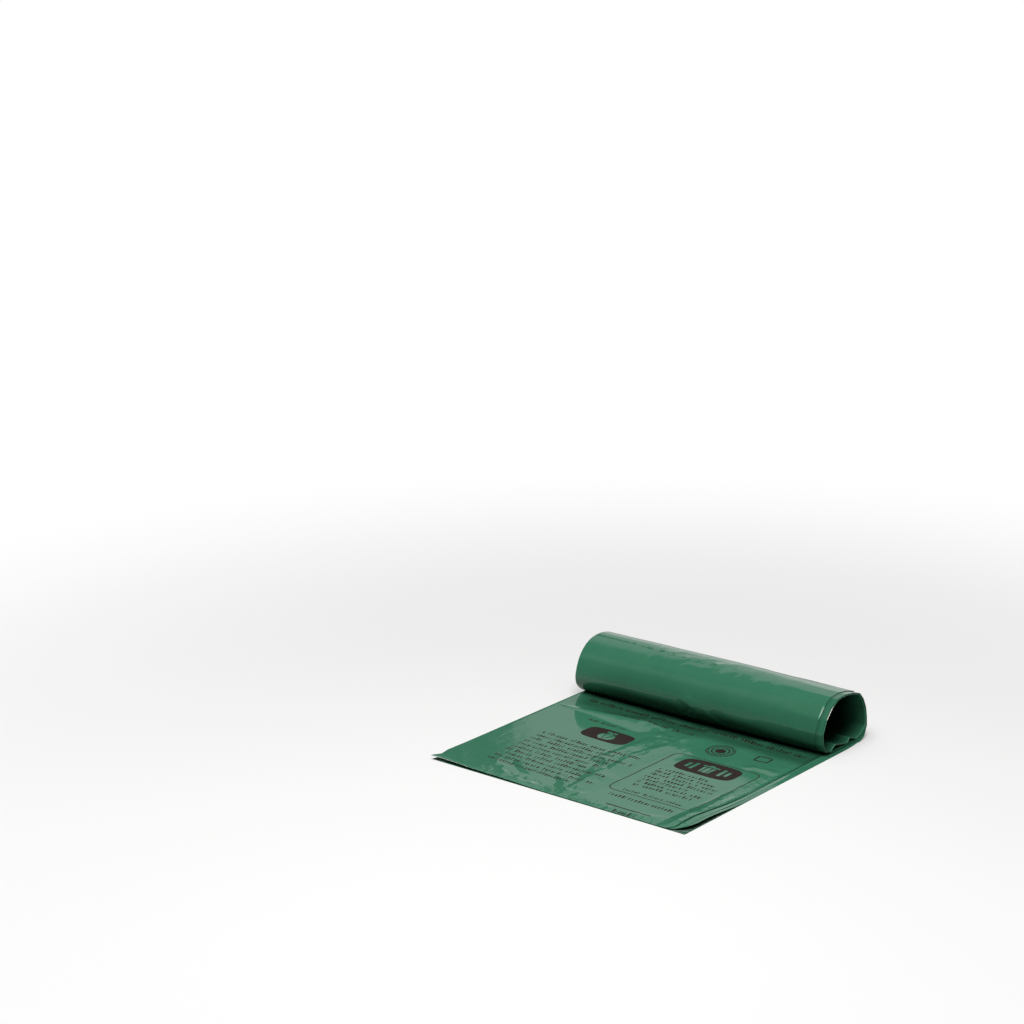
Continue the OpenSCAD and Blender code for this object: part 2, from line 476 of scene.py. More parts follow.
# The skin's grid: the profile across the web, carried along the floor and round the outline.
def makeSkin():
    profileX, profileDepth = foldedProfile(-endX, endX, skin["acrossStep"])
    floorY = np.arange(0, roll["nearOutline"][0][0] - skin["floorStep"], skin["floorStep"])
    s = np.linspace(0, skin["lastTurn"], skin["rollSteps"])
    yz = rollPlaces(profileX, s[None, :])
    yz[..., 1] = np.maximum(yz[..., 1], roll["onBag"] * ease(s, 0.5, 0.6)) + skin["floorLift"]
    out = outwards(yz)
    waves = skinWaves(profileX[:, None], s[None, :])
    yz = yz + out * waves[..., None] - out * profileDepth[:, None, None]
    leave = yz[:, :1, 0]
    floor = np.stack([
        floorY[None, :] * leave / leave.mean(),
        np.broadcast_to(skin["floorLift"] + profileDepth[:, None], (len(profileX), len(floorY))),
    ], -1)
    path = np.concatenate([floor, yz], 1)
    count = len(floorY)
    x = profileX[:, None] + np.zeros(path.shape[1])
    side = ease(profileX, -endX, endX)[:, None]
    everywhere, onTop = roll["farReach"]
    comes, goes = skin["topReach"]
    reach = everywhere + onTop * ease(s, *comes) * ease(s, *goes)
    spread = skin["freeSpread"] * ease(floorY[-1], *skin["spreadOver"]) * ease(s, *skin["spreadEnds"])
    spread = spread * ease(profileX, -endX * skin["lieFrom"], endX)[:, None]
    inset = roll["skinInset"] * side * ease(s, *skin["insetOver"])
    x[:, count:] += spread - inset - reach * (1 - side)
    x[:, :count], path[:, :count, 0] = freeLie(x[:, :count], path[:, :count, 0])
    places = np.concatenate([x[..., None], path], -1)
    run = webRun(path)
    flatMap = flatWeb(profileX[:, None], run, x.shape)
    around = np.concatenate([np.full(count, -1.0), s])
    marks = skinMarks(profileX, path[..., 0], run, around)
    piece = makeFilm("outerSkin", places, roll["film"], flatMap, marks)
    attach(piece, "root")
    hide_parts("bag_roll")
    print(f"outer skin: {run[-1]:.0f} mm of film along the web")
    return piece


# Inner turns: the rest of the web, wound inwards, slack and kinked where it lies on the bottom.
turnsInside = {
    "acrossSteps": 78,
    "stepsPerTurn": 110,
    "firstTurn": 0.84,  # where they start, just after the skin's end
    "loose": [  # turn and its share of the slack
        (0, 0), (1, 0.02), (2, 0.06), (3, 0.90), (4, 0.96), (5, 1.0), (6, 1.04),
    ],
    "slackNear": [  # share of the bottom from front to back, and height in mm, at the open end
        (0, 0.6), (0.18, 7.2), (0.62, 0.6), (0.70, 1.0), (0.76, 7.0), (0.90, 3.0), (1, 2.6),
    ],
    "slackFar": [(0, 1.0), (0.2, 5.0), (0.5, 2.5), (0.75, 6.0), (1, 1.0)],
    "film": 0.2,
    "depth": 0.15,  # how far the turns stand in from the skin, besides their climb
    "waves": 0.3,  # share of the skin's own waves that stand out in them too
    "wander": 0.9,  # how far the cut edges of the turns wander along the roll
    "pale": (0.530, 0.572),  # shares of the turn between which the cut edges catch the light
    "shadeFrom": -4,  # mm in from the ends, where the film inside darkens
    "shadeTo": 31,
    "litBack": 28,  # and how much further the light reaches in at the back
}


# Height of the slack turns over the bottom: two broken lines for the two ends, with one between
# them along the roll, faded out at the front and back of the bottom. Each turn has its share.
def bottomSlack(x, q, turn):
    k = turnsInside
    along = ease(x / rollLength + 0.5, 0.35, 1.0)
    near, far = (np.interp(q, *zip(*k[end])) for end in ("slackNear", "slackFar"))
    share = np.interp(turn, *zip(*k["loose"]))
    fade = ease(q, 0, 0.07) * ease(1 - q, 0, 0.07)
    wave = 1 + 0.2 * np.sin(x / 23) * (1 - along)
    return (far + (near - far) * along) * share * fade * wave


# Marks of the inner turns: a painted highlight on the cut edge at the open end, and the shade deeper
# in and, on the tight turns, near the floor. a is the share of the turn.
def turnMarks(x, s, a):
    k = turnsInside
    comes, goes = k["pale"]
    loose = ease(s, 2.9, 3.1)
    rim = ease(x, endX - 1.6, endX - 0.3)[:, None] * ease(a, comes - 0.025, comes)
    rim = rim * ease(a, goes + 0.03, goes) * loose
    # painted highlight: a fainter lit rim all along the cut edge of the loose turns
    rim = np.maximum(rim, 0.3 * ease(x, endX - 2.4, endX - 1.2)[:, None] * loose)
    inwards = endX - np.abs(x)[:, None]
    paintedShade = ease(inwards, k["shadeFrom"], k["shadeTo"] + k["litBack"] * bell(a, 0.13, 0.1))
    outer = ease(s, 3.2, 2.9) * ease(inwards, 0, 7)
    paintedShade = np.maximum(paintedShade, outer * np.maximum(ease(a, 0.11, 0.04), ease(a, 0.79, 0.83)))
    return {"edge": rim, "shade": paintedShade, "crumple": 0.35}


def makeInnerTurns():
    k = turnsInside
    x = np.linspace(-1, 1, k["acrossSteps"])
    x = endX * np.sign(x) * (1 - (1 - np.abs(x)) ** 1.6)  # closer together at both ends
    count = int((roll["turns"] - k["firstTurn"]) * k["stepsPerTurn"])
    s = np.linspace(k["firstTurn"], roll["turns"], count)
    yz = rollPlaces(x, s[None, :], depth=k["depth"], slack=bottomSlack)
    out = outwards(yz)
    a = (s - np.floor(s))[None, :]
    waves = skinWaves(x[:, None], a)
    yz = yz + out * np.minimum(waves, k["waves"] * waves)[..., None]
    wander = k["wander"] * (np.sin(s * 4.1) + 0.6 * np.sin(s * 9.7 + 1))
    ends = np.abs(x / endX)[:, None] ** 6
    atX = x[:, None] - np.sign(x)[:, None] * ends * (1.6 + wander)
    places = np.concatenate([atX[..., None], yz], -1)
    run = webRun(yz)
    flatMap = flatWeb(x[:, None], run, yz.shape[:2])
    piece = makeFilm("innerTurns", places, k["film"], flatMap, turnMarks(x, s, a))
    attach(piece, "root")
    print(f"inner turns: {run[-1]:.0f} mm of web in {s[-1] - s[0]:.1f} turns")
    return piece


# Free bag: the upper panel, printed, with its side folds standing back at the open end, and the
# two gussets under it. Places are in mm from the far side and the torn edge.
freeBag = {
    "panelInset": 12,  # how far the panel stands back at the open side
    "farInset": 1.5,
    "length": 416,
    "step": 2.0,
    "panelLift": 0.86,  # height over the floor without air, and the same for the gussets
    "gussetLift": 0.35,
    "gussetDepth": 140,
    "gussetSteps": (56, 120),  # across one layer, and along it
    "farCorner": (0.8, 110, 90),  # lift, reach along the torn edge, reach along the side
    "nearCorner": (6.2, 34, 165),
    "cornerRadius": 18,
    "cornerIn": 6,  # mm that the side draws in towards the near corner
    "hem": (1.2, 3.5),  # height and half width of the swell along the open side
    "air0": 0.6,  # air under the whole panel
    "swells": [(0.35, 170, 9, 21), (0.12, 60, 9, 8)],  # height, size, count, seed
    "calm": 0.93,  # how much of the swells is taken away at the middle of the far side
    "bend": (3, 75, 7),  # how far the creases are bent, over what size, in how many waves
    "airSoft": 2.2,
    "air": [  # wide swells as roofs: start, end, height, left and right width
        (140, 292, 170, 324, 1.8, 10, 24), (180, 300, 330, 318, 2.4, 20, 46),
        (226, 300, 222, 90, 1.6, 34, 60), (280, 180, 380, 90, 0.9, 50, 60),
    ],
    "tents": [  # start, end, heights at both, fall per mm at the left, the right and past the end
        ((44, 280), (158, 291), (1.2, 5.0), (0.18, 0.155, 0.1)),
        ((216, 20), (211, 90), (0.3, 1.6), (0.16, 0.03, 0.06)),
    ],
    "creases": [
        (180, 140, 194, 262, 0.8, 7, 30), (216, 84, 213, 190, 0.9, 7, 26),
        (213, 180, 238, 300, 1.2, 9, 26), (181, 58, 210, 24, 0.75, 26, 6),
        (206, 26, 228, 17, 0.9, 8, 6), (226, 14, 225, 46, 0.7, 6, 9),
        (240, 10, 238, 32, 0.8, 7, 9), (74, 52, 92, 33, 0.45, 4, 8),
        (92, 33, 128, 8, 0.45, 4, 9), (80, 42, 88, 33, 0.5, 3, 4),
        (97, 39, 106, 29, 0.45, 3, 4), (108, 24, 120, 15, 0.5, 3, 4),
        (92, 56, 136, 30, -0.4, 9, 8), (130, 6, 180, 12, 0.6, 7, 10),
        (192, 268, 222, 262, 0.9, 6, 8), (200, 254, 226, 250, 0.7, 6, 5),
        (290, 138, 302, 78, 0.5, 16, 12), (391, 176, 398, 66, 0.8, 10, 6),
        (404, 196, 409, 96, 0.7, 6, 4), (352, 234, 364, 250, 0.8, 8, 6),
        (364, 250, 402, 242, 0.9, 8, 10), (402, 62, 396, 6, 0.8, 5, 9),
        (376, 22, 402, 50, 0.6, 7, 6), (330, 10, 372, 24, 0.6, 8, 8),
        (160, 328, 206, 338, 1.1, 5, 8), (218, 331, 250, 317, 2.0, 9, 6),
        (246, 318, 312, 323, 2.2, 9, 6), (308, 323, 330, 336, 2.0, 9, 6),
        (338, 329, 396, 333, 0.8, 5, 8), (30, 330, 120, 336, 0.8, 8, 14),
        (300, 290, 344, 300, 0.8, 10, 9), (250, 262, 262, 232, 0.7, 9, 8),
    ],
    "small": {
        "seed": 5, "count": 90, "low": (14, 10), "high": (400, 335), "turn": 70, "spread": 45,
        "length": (12, 52), "width": (4, 14), "height": (0.05, 0.34),
    },
}


# Height of the free bag's air and wrinkles over the stack of its layers: swells, roofs and tents,
# faded out at its edges, and then the rise of the far side, the hem and both raised corners.
def bagWaves(x, y):
    b = freeBag
    u = x + endX
    calm = ease(u, 215, 150) * ease(y, 40, 66) * ease(y, 320, 262)
    swells = sum(height * swell(u, y, *others) for height, *others in b["swells"])
    w = b["air0"] + swells * (1 - b["calm"] * calm)
    bentBy, size, count = b["bend"]
    bentU = u + bentBy * swell(u, y, size, count, 40)
    bentY = y + bentBy * swell(u, y, size, count, 41)
    for x1, y1, x2, y2, *others in b["air"]:
        w = w + roof(bentU, bentY, (x1, y1), (x2, y2), *others, soft=b["airSoft"])
    for x1, y1, x2, y2, *others in b["creases"]:
        w = w + roof(bentU, bentY, (x1, y1), (x2, y2), *others)
    for row in b["tents"]:
        w = w + tent(u, y, *row)
    restless = np.maximum(ease(y, 62, 24), ease(u, 372, 392))
    restless = np.maximum(restless, np.maximum(bell(u, 205, 38), ease(y, 232, 262)))
    w = w + scatter(bentU, bentY, b["small"]) * (0.05 + 0.95 * restless * ease(u, 20, 80))
    fromEdge = endX - b["panelInset"] - x
    w = w * ease(u, -2, 5) * ease(fromEdge, 0, 14) * ease(y, -4, 12)
    w = w * ease(348 - y, 0, 9)
    w = w + farRise(x, y)
    high, half = b["hem"]
    hem = high * (0.3 + 0.7 * ease(y, 20, 130) + 0.5 * ease(y, 190, 280))
    w = w + hem * bell(fromEdge, 0, half) * ease(350 - y, 0, 20)
    lift, front, side = b["farCorner"]
    w = w + lift * ease(1 - np.clip(u, 0, None) / front - np.clip(y, 0, None) / side, 0, 1.1)
    lift, front, side = b["nearCorner"]
    raised = lift * ease(1 - np.clip(fromEdge, 0, None) / front, 0, 1)
    w = w + raised * ease(y, -8, 22) * ease(side - y, 0, side * 0.75)
    return np.maximum(w, 0)


# How far a rounded corner stands back, as a quarter circle of the radius at the side's end.
def cornerBack(toSide, radius):
    near = np.clip(1 - toSide / radius, 0, 1)
    return radius * (1 - np.sqrt(1 - near**2))


# Marks of the upper panel: a pale torn edge, crumples near the roll, in the middle, along the open
# side and at the torn edge, and shade towards the roll.
def panelMarks(u, y):
    torn = 0.25 + 0.75 * bell(u, 0, 60)
    crumple = np.maximum(0.4 * ease(u, 140, 185) * ease(y, 296, 322), 0.8 * bell(u, 212, 24))
    crumple = np.maximum(crumple, 0.7 * ease(u, 376, 392))
    crumple = np.maximum(crumple, 0.75 * ease(y, 34, 14) * ease(u, 60, 90))
    crumple = np.maximum(crumple, 0.35 * ease(u, 226, 250) * ease(y, 214, 244))
    return {
        "tearAndPaintedReflection": ease(-y, -2.2, -0.2) * torn,
        "crumple": 0.05 + 0.95 * crumple,
        "shade": (0.50 * ease(y, 280, 306) + 0.12 * ease(y, 325, 346)) * ease(u, -4, 40),
    }


def makeUpperPanel():
    b = freeBag
    profileX, profileDepth = foldedProfile(-endX + b["farInset"], endX - b["panelInset"], b["step"])
    u = profileX + endX
    toSide = endX - b["panelInset"] - profileX
    y = np.linspace(0, b["length"], int(b["length"] / b["step"]))
    wobble = 0.5 * np.sin(profileX / 17) + 0.35 * np.sin(profileX / 5.3 + 1)
    back = cornerBack(toSide, b["cornerRadius"])
    tip = 3 * np.exp(-u / 8)
    yy = y[None, :] + (wobble * 0.6 + 0.8 + 0.8 * back - tip)[:, None] * ease(-y, -20, 0)[None, :]
    height = b["panelLift"] - profileDepth[:, None] + bagWaves(profileX[:, None], yy)
    ear = (4 * ease(y, 34, 12) - 8 * ease(y, 15, 2))[None, :]  # the far corner sticks out in a point
    x = profileX[:, None] + np.exp(-u / 9)[:, None] * ear
    drawn = b["cornerIn"] * ease(profileX, endX - 70, endX - b["panelInset"])
    x = x - drawn[:, None] * ease(y, 110, 30)[None, :]
    lieX, lieY = freeLie(x, yy)
    places = np.stack([lieX, lieY, height], -1)
    flatMap = flatWeb(u[:, None], yy, height.shape)
    marks = panelMarks(u[:, None], y[None, :])
    piece = makeFilm("upperPanel", places, roll["film"], flatMap, marks)
    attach(piece, "root")
    width = rollLength - b["panelInset"] - b["farInset"] + 2 * roll["foldBack"]
    width * mm
    b["length"] * mm
    print(f"upper panel: {width:.0f} x {b['length']} mm")
    return piece


# One gusset: a film that runs in from the lower fold, turns and comes back out under the panel.
# Both layers have the same places across, and each takes its share of the panel's waves.
def makeGusset(name, side, g):
    b = freeBag
    layers = (0.25, 0.6)  # share of the waves in the lower and upper layer
    acrossSteps, alongSteps = b["gussetSteps"]
    turnR = roll["foldGap"] / 2
    inner = endX - b["gussetDepth"]
    arc = np.linspace(-np.pi / 2, np.pi / 2, 7)
    lower = inner + turnR + (endX - g["lower"] - inner - turnR) * np.linspace(0, 1, acrossSteps) ** 0.7
    upper = np.append(lower[lower < endX - g["upper"] - 0.5], endX - g["upper"])
    x = np.concatenate([lower[::-1], inner + turnR - turnR * np.cos(arc[1:-1]), upper])
    height = b["gussetLift"] + turnR + np.concatenate([
        np.full(len(lower), -turnR), turnR * np.sin(arc[1:-1]), np.full(len(upper), turnR)
    ])
    share = np.concatenate([
        np.full(len(lower), layers[0]), np.linspace(*layers, 5), np.full(len(upper), layers[1])
    ])
    share = share + (sum(layers) / 2 - share) * ease(x, inner + 24, inner + 2)  # closed at the fold
    run = 2.5 + (b["length"] - 3.5) * np.linspace(0, 1, alongSteps) ** 1.3
    back = cornerBack(endX - g["lower"] - x, g["cornerRadius"])
    corner = (back - g["forward"] * ease(x, endX - 60, endX))[:, None]
    y = run[None, :] + corner * ease(run, 60, 0)[None, :]
    x = x * side
    if side < 0:
        x, height, share, y = x[::-1], height[::-1], share[::-1], y[::-1]
    share = share[:, None]
    raised = (0.92 - share) * g["raised"] * ease(x, endX - 60, endX - 12)[:, None] * ease(y, 160, 60)
    z = height[:, None] + (share + raised) * bagWaves(x[:, None], y)
    lieX, lieY = freeLie(x[:, None] + 0 * y, y)
    places = np.stack([lieX, lieY, z], -1)
    flatMap = flatWeb(x[:, None], y, z.shape)
    piece = makeFilm(name, places, roll["film"], flatMap, {"crumple": 0.3})
    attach(piece, "root")
    return piece


# How far in from the end each gusset's two layers stand, and the near one's rounded, raised corner.
farGusset = {"lower": 22, "upper": 28, "cornerRadius": 1, "forward": 0, "raised": 0}
nearGusset = {"lower": 1.5, "upper": 7, "cornerRadius": 32, "forward": 3, "raised": 0.95}
films = [makeSkin(), makeInnerTurns(), makeUpperPanel()]
films += [makeGusset("farGusset", -1, farGusset), makeGusset("nearGusset", 1, nearGusset)]
print("gussets: two, folded in under the upper panel")


# A wire wraps one socket of a node tree. Its operators add the Math nodes that work them out.
class Wire:
    tree = None

    def __init__(self, socket):
        self.socket = socket

    @classmethod
    def node(cls, kind, settings=None, inputs=None, output=0):
        made = cls.tree.nodes.new("ShaderNode" + kind)
        for name, value in (settings or {}).items():
            setattr(made, name, value)
        for name, value in (inputs or {}).items():
            if isinstance(value, Wire):
                cls.tree.links.new(value.socket, made.inputs[name])
            else:
                made.inputs[name].default_value = value
        return cls(made.outputs[output])

    def maths(self, operation, *others):
        inputs = {i: value for i, value in enumerate((self, *others))}
        return Wire.node("Math", {"operation": operation}, inputs)

    def __rsub__(self, other):
        return Wire.node("Math", {"operation": "SUBTRACT"}, {0: other, 1: self})

    __add__ = __radd__ = partialmethod(maths, "ADD")
    __sub__ = partialmethod(maths, "SUBTRACT")
    __mul__ = __rmul__ = partialmethod(maths, "MULTIPLY")
    __truediv__ = partialmethod(maths, "DIVIDE")
    __pow__ = partialmethod(maths, "POWER")
    over = partialmethod(maths, "GREATER_THAN")
    under = partialmethod(maths, "LESS_THAN")
    within = partialmethod(maths, "COMPARE")  # of a middle, and half a width
    floor = partialmethod(maths, "FLOOR")
    part = partialmethod(maths, "FRACT")
    size = partialmethod(maths, "ABSOLUTE")
    most = partialmethod(maths, "MAXIMUM")

    def ease(self, low, high):
        inputs = {"Value": self, "From Min": low, "From Max": high}
        return Wire.node("MapRange", {"interpolation_type": "SMOOTHSTEP"}, inputs)

    def lot(self, other):  # a lot from 0 to 1 for each pair of numbers
        inputs = {"Vector": joined(self, other)}
        return Wire.node("TexWhiteNoise", {"noise_dimensions": "2D"}, inputs)


def mixColour(factor, first, second):
    inputs = {0: factor, 6: first, 7: second}
    return Wire.node("Mix", {"data_type": "RGBA"}, inputs, 2)


def joined(x, y):
    return Wire.node("CombineXYZ", None, {0: x, 1: y})


def parted(vector):
    split = Wire.node("SeparateXYZ", None, {0: vector}).socket.node
    return [Wire(output) for output in split.outputs]


def noise(place, scale, detail):
    inputs = {"Vector": place, "Scale": scale, "Detail": detail}
    return Wire.node("TexNoise", None, inputs, "Fac")


def webNoise(x, y, across, along, detail):
    return noise(joined(x * across, y * along), 1.0, detail)


# Whether a place is seen by the camera, and whether in a gloss, each 0 or 1.
def seenBy():
    path = Wire.node("LightPath").socket.node
    return Wire(path.outputs["Is Camera Ray"]), Wire(path.outputs["Is Glossy Ray"])


# A material and its shader; the wires that follow go into its tree.
def newMaterial(name):
    material = bpy.data.materials.new(name)
    material.use_nodes = True
    Wire.tree = material.node_tree
    return material, Wire.tree.nodes["Principled BSDF"]


# The material's surface: its shader, mixed with another one by the factor.
def putSurface(factor, shader, other):
    out = Wire.node("MixShader", None, {0: factor, 1: Wire(shader.outputs[0]), 2: other})
    Wire.tree.links.new(out.socket, Wire.tree.nodes["Material Output"].inputs["Surface"])


# Print: plain signs in mm from the far side and the torn edge, on the upper panel alone.
printed = {
    "rows": [  # low and high edge, pitch, height, left, right, raggedness, cell and group length
        (315, 327, 20, 10.5, 34, 397, 0, 4.9, 46),
        (289, 300, 20, 8, 84, 240, 0, 4.6, 40),
        (252, 261, 20, 7, 78, 142, 0, 4.4, 31),
        (46, 182, 13.6, 8.6, 56, 238, 34, 5.0, 36),
        (94, 172, 11.2, 7.4, 262, 374, 22, 5.2, 37),
        (71, 80, 20, 6, 270, 364, 0, 4.6, 37),
        (47, 57, 20, 8, 266, 370, 0, 5.2, 37),
        (2, 13, 20, 9, 303, 338, 0, 4.6, 14),
    ],
    "sackSign": (138, 219, 39, 21),  # middle and half sizes
    "binSign": (317, 201, 46, 24),
    "ringSign": (292, 268, 21),
    "squareSign": (354, 277, 10),
    "frame": (317.5, 146.5, 67.5, 81.5, 12, 0.8),  # middle, half sizes, corner radius, half line
    "rule": (318, 19.5, 35, 1.3),
}


# Rows of upright ticks in groups. A row's number seeds its ends, its groups and its ticks; a tick
# fills part of its cell and stands full height in one cell of four.
def tickRows(x, y, low, high, pitch, tall, left, right, ragged, cellLong, groupLong):
    up = (y - low) / pitch
    row = up.floor()
    first, second = row.lot(left + 1.0), row.lot(left + 2.0)
    cell = x / cellLong
    full = cell.floor().lot(row + low).over(0.72)
    wide = cell.floor().lot(row + high)
    group = x / groupLong + second * 7 + (x / (groupLong * 2.3)).floor().lot(row) * 0.3
    ticks = cell.part().under(wide * 0.40 + 0.28) * group.part().over(0.12)
    height = ((up - row) * pitch).under((full * 0.3 + 0.7) * tall)
    ends = x.over(first * ragged * 0.25 + left) * x.under(right - second * ragged * 1.6)
    return ticks * height * ends * y.over(low) * y.under(high)


# A rounded oblong: |x/a|^4 + |y/b|^4 below 1.
def oblong(x, y, a, b):
    return ((x / a) ** 4 + (y / b) ** 4).under(1)


# A tied sack left bare in a dark oblong: a round body with two creases, a neck and two ears.
def sackSign(x, y, sign):
    u, v = x - sign[0], y - sign[1]
    side = u.size()
    body = ((u / 13) ** 2 + ((v + 3.5) / 11.5) ** 2).under(1)
    creases = (side - v * 0.25 - 5).size().under(0.7)
    ears = ((side - 5) ** 2 / 14 + (v - 12.5) ** 2 / 9).under(1)
    neck = side.under(2.2) * v.within(9.5, 3.5)
    bare = (body * (1 - creases)).most(ears).most(neck)
    return oblong(u, v, sign[2], sign[3]) * (1 - bare)


# A lidded bin left bare in a dark oblong, with two upright bars at each side.
def binSign(x, y, sign):
    u, v = x - sign[0], y - sign[1]
    side = u.size()
    body = side.under(v * 0.12 + 9) * v.within(-4, 9.5) * (1 - (side - 4).size().under(0.9))
    lid = side.under(13) * v.within(9.5, 1.8)
    grip = side.under(4) * v.within(13, 1.4)
    bars = side.within(22, 2.4) * v.size().under(12) + side.within(31, 2.4) * v.size().under(8)
    return oblong(u, v, sign[2], sign[3]) * (1 - body.most(lid).most(grip).most(bars))


# A disc in a thin ring and a ring of ticks, each between two distances from the middle.
def ringSign(x, y, sign):
    u, v = x - sign[0], y - sign[1]
    away = (u * u + v * v) ** 0.5
    ticks = (v.maths("ARCTAN2", u) * (18 / math.pi)).part().under(0.55)
    half = sign[2] / 2
    outer = away.within(half * 1.75, half * 0.25) * ticks
    return outer.most(away.under(half * 0.72)).most(away.within(half * 1.15, 1.1))


# A rounded outline: places less than half a line's width from a box with round corners.
def outlineSign(x, y, middleX, middleY, halfX, halfY, radius, line):
    u = ((x - middleX).size() - (halfX - radius)).most(0)
    v = ((y - middleY).size() - (halfY - radius)).most(0)
    away = (u * u + v * v) ** 0.5
    straight = ((x - middleX).size() - halfX).most((y - middleY).size() - halfY)
    inCorner = u.over(0) * v.over(0)
    return (away - radius).size().under(line) * inCorner + straight.size().under(line) * (1 - inCorner)


def printInk(x, y):
    p = printed
    ink = sackSign(x, y, p["sackSign"]).most(binSign(x, y, p["binSign"]))
    ink = ink.most(ringSign(x, y, p["ringSign"])).most(outlineSign(x, y, *p["frame"]))
    left, low, half = p["squareSign"]
    ink = ink.most(outlineSign(x, y, left, low, half, half * 0.85, 3, 1.3))
    left, low, half, line = p["rule"]
    ink = ink.most(x.within(left, half) * y.within(low, line))
    for r in p["rows"]:
        ink = ink.most(tickRows(x, y, *r))
    return ink


# Film: glossy green polythene, with faint streaks along the web, fine crinkles and whitened tears;
# painted highlights on the cut edges and the fold, a painted reflection under the near corner, and
# painted shade.
film = {
    "green": (0.034, 0.163, 0.092, 1),
    "worn": (0.044, 0.178, 0.104, 1),
    "ink": (0.018, 0.008, 0.007, 1),
    # whitened film at the tears, and a painted reflection under the near corner
    "whitenedAndPaintedReflection": (0.46, 0.56, 0.50, 1),
    # painted highlights: the lit rims of the inner turns and the glint on the skin's fold
    "paintedRimLightGreen": (0.085, 0.30, 0.18, 1),
    "paintedGlintCream": (0.88, 0.92, 0.82, 1),
    # colour of the painted shade
    "paintedShade": (0.004, 0.020, 0.010, 1),
    # painted shade: the dark diffuse colour deep inside the roll
    "inside": (0.005, 0.027, 0.013, 1),
    "roughness": 0.075,
    "inkRoughness": 0.55,
    "index": 1.46,
    "cloudNoise": (28.0, 5.0),  # scale and detail
    "fineNoise": (150.0, 3.0),
    "facetScale": 60.0,
    "streakWeb": (0.22, 0.004, 4.0),  # how finely it changes across and along the web; detail
    "lineWeb": (0.8, 0.012, 1.0),
    "streak": 0.024,  # mm of relief
    "crinkle": 0.012,
    "facet": 0.03,
    "lines": 0.05,
    "folds": [(26, 2.2), (11, 0.9), (5, 0.25)],  # size and depth in mm of the crumples' creases
}


def makeFilmMaterial(name, withPrint):
    material, shader = newMaterial(name)
    flat = Wire.node("UVMap", {"uv_map": "filmMap"})
    x, y = (part * 1000 for part in parted(flat)[:2])  # in mm
    tearAndPaintedReflection, edge, shade, crumple = (
        Wire.node("Attribute", {"attribute_name": k}, None, "Fac") for k in filmMarks
    )
    place = Wire.node("TexCoord", None, None, "Object")
    streak, lines = (webNoise(x, y, *film[k]) for k in ("streakWeb", "lineWeb"))
    cloud, fine = (noise(place, *film[k]) for k in ("cloudNoise", "fineNoise"))
    facet = Wire.node(
        "TexVoronoi", {"feature": "F1", "distance": "EUCLIDEAN"},
        {"Vector": place, "Scale": film["facetScale"], "Randomness": 1.0}, "Distance",
    )
    colour = mixColour((cloud - 0.5) * 1.4 + (streak - 0.5) * 0.8 + 0.4, film["green"], film["worn"])
    rough = (cloud - 0.5) * 0.06 + film["roughness"]
    if withPrint:
        ink = printInk(x, y) * (cloud * 0.1 + 0.94)
        colour = mixColour(ink, colour, film["ink"])
        rough = rough + ink * film["inkRoughness"]
    # whitened film at the tears; under the raised near corner this mix is a painted reflection
    ragged = (tearAndPaintedReflection * 1.3 - (fine - 0.3)).ease(0.15, 0.75)
    colour = mixColour(ragged, colour, film["whitenedAndPaintedReflection"])
    # painted shade: the shade mark darkens the colour towards a near-black green
    colour = mixColour(shade, colour, film["paintedShade"])
    # painted highlight: the edge mark lights the rims in paler green and the glints in cream
    colour = mixColour(edge.ease(0.08, 0.26), colour, film["paintedRimLightGreen"])
    colour = mixColour(edge.ease(0.4, 0.8), colour, film["paintedGlintCream"])
    height = streak * film["streak"] + fine * film["crinkle"]
    height = height + facet * film["facet"] + cloud * film["facet"]
    for size, depth in film["folds"]:
        folds = noise(joined(x / size, y / (size * 1.6)), 1.0, 1.0)
        height = height + (folds - 0.5).size() * crumple * depth
    height = height + lines * crumple * film["lines"]
    bump = Wire.node("Bump", None, {"Strength": 1.0, "Distance": mm, "Height": height})
    rough = rough + ragged * 0.3
    shader.inputs["IOR"].default_value = film["index"]
    for into, value in (("Base Color", colour), ("Roughness", rough), ("Normal", bump)):
        Wire.tree.links.new(value.socket, shader.inputs[into])
    # painted shade: deep inside the roll, and on the ink in the shade by the roll, the gloss gives way
    # to a dark diffuse shader
    paintedShadeShare = shade.ease(0.88, 1.0) * 0.85
    if withPrint:
        paintedShadeShare = paintedShadeShare.most(ink * shade.ease(0.05, 0.4) * 0.85)
    paintedShadeShader = Wire.node("BsdfDiffuse", None, {"Color": film["ink" if withPrint else "inside"]})
    putSurface(paintedShadeShare, shader, paintedShadeShader)
    return material


plainFilm, printedFilm = makeFilmMaterial("plainFilm", False), makeFilmMaterial("printedFilm", True)
for piece in films:
    piece.data.materials.append(printedFilm if piece.name == "upperPanel" else plainFilm)
print(f"materials: film with {len(printedFilm.node_tree.nodes)} nodes where it is printed")

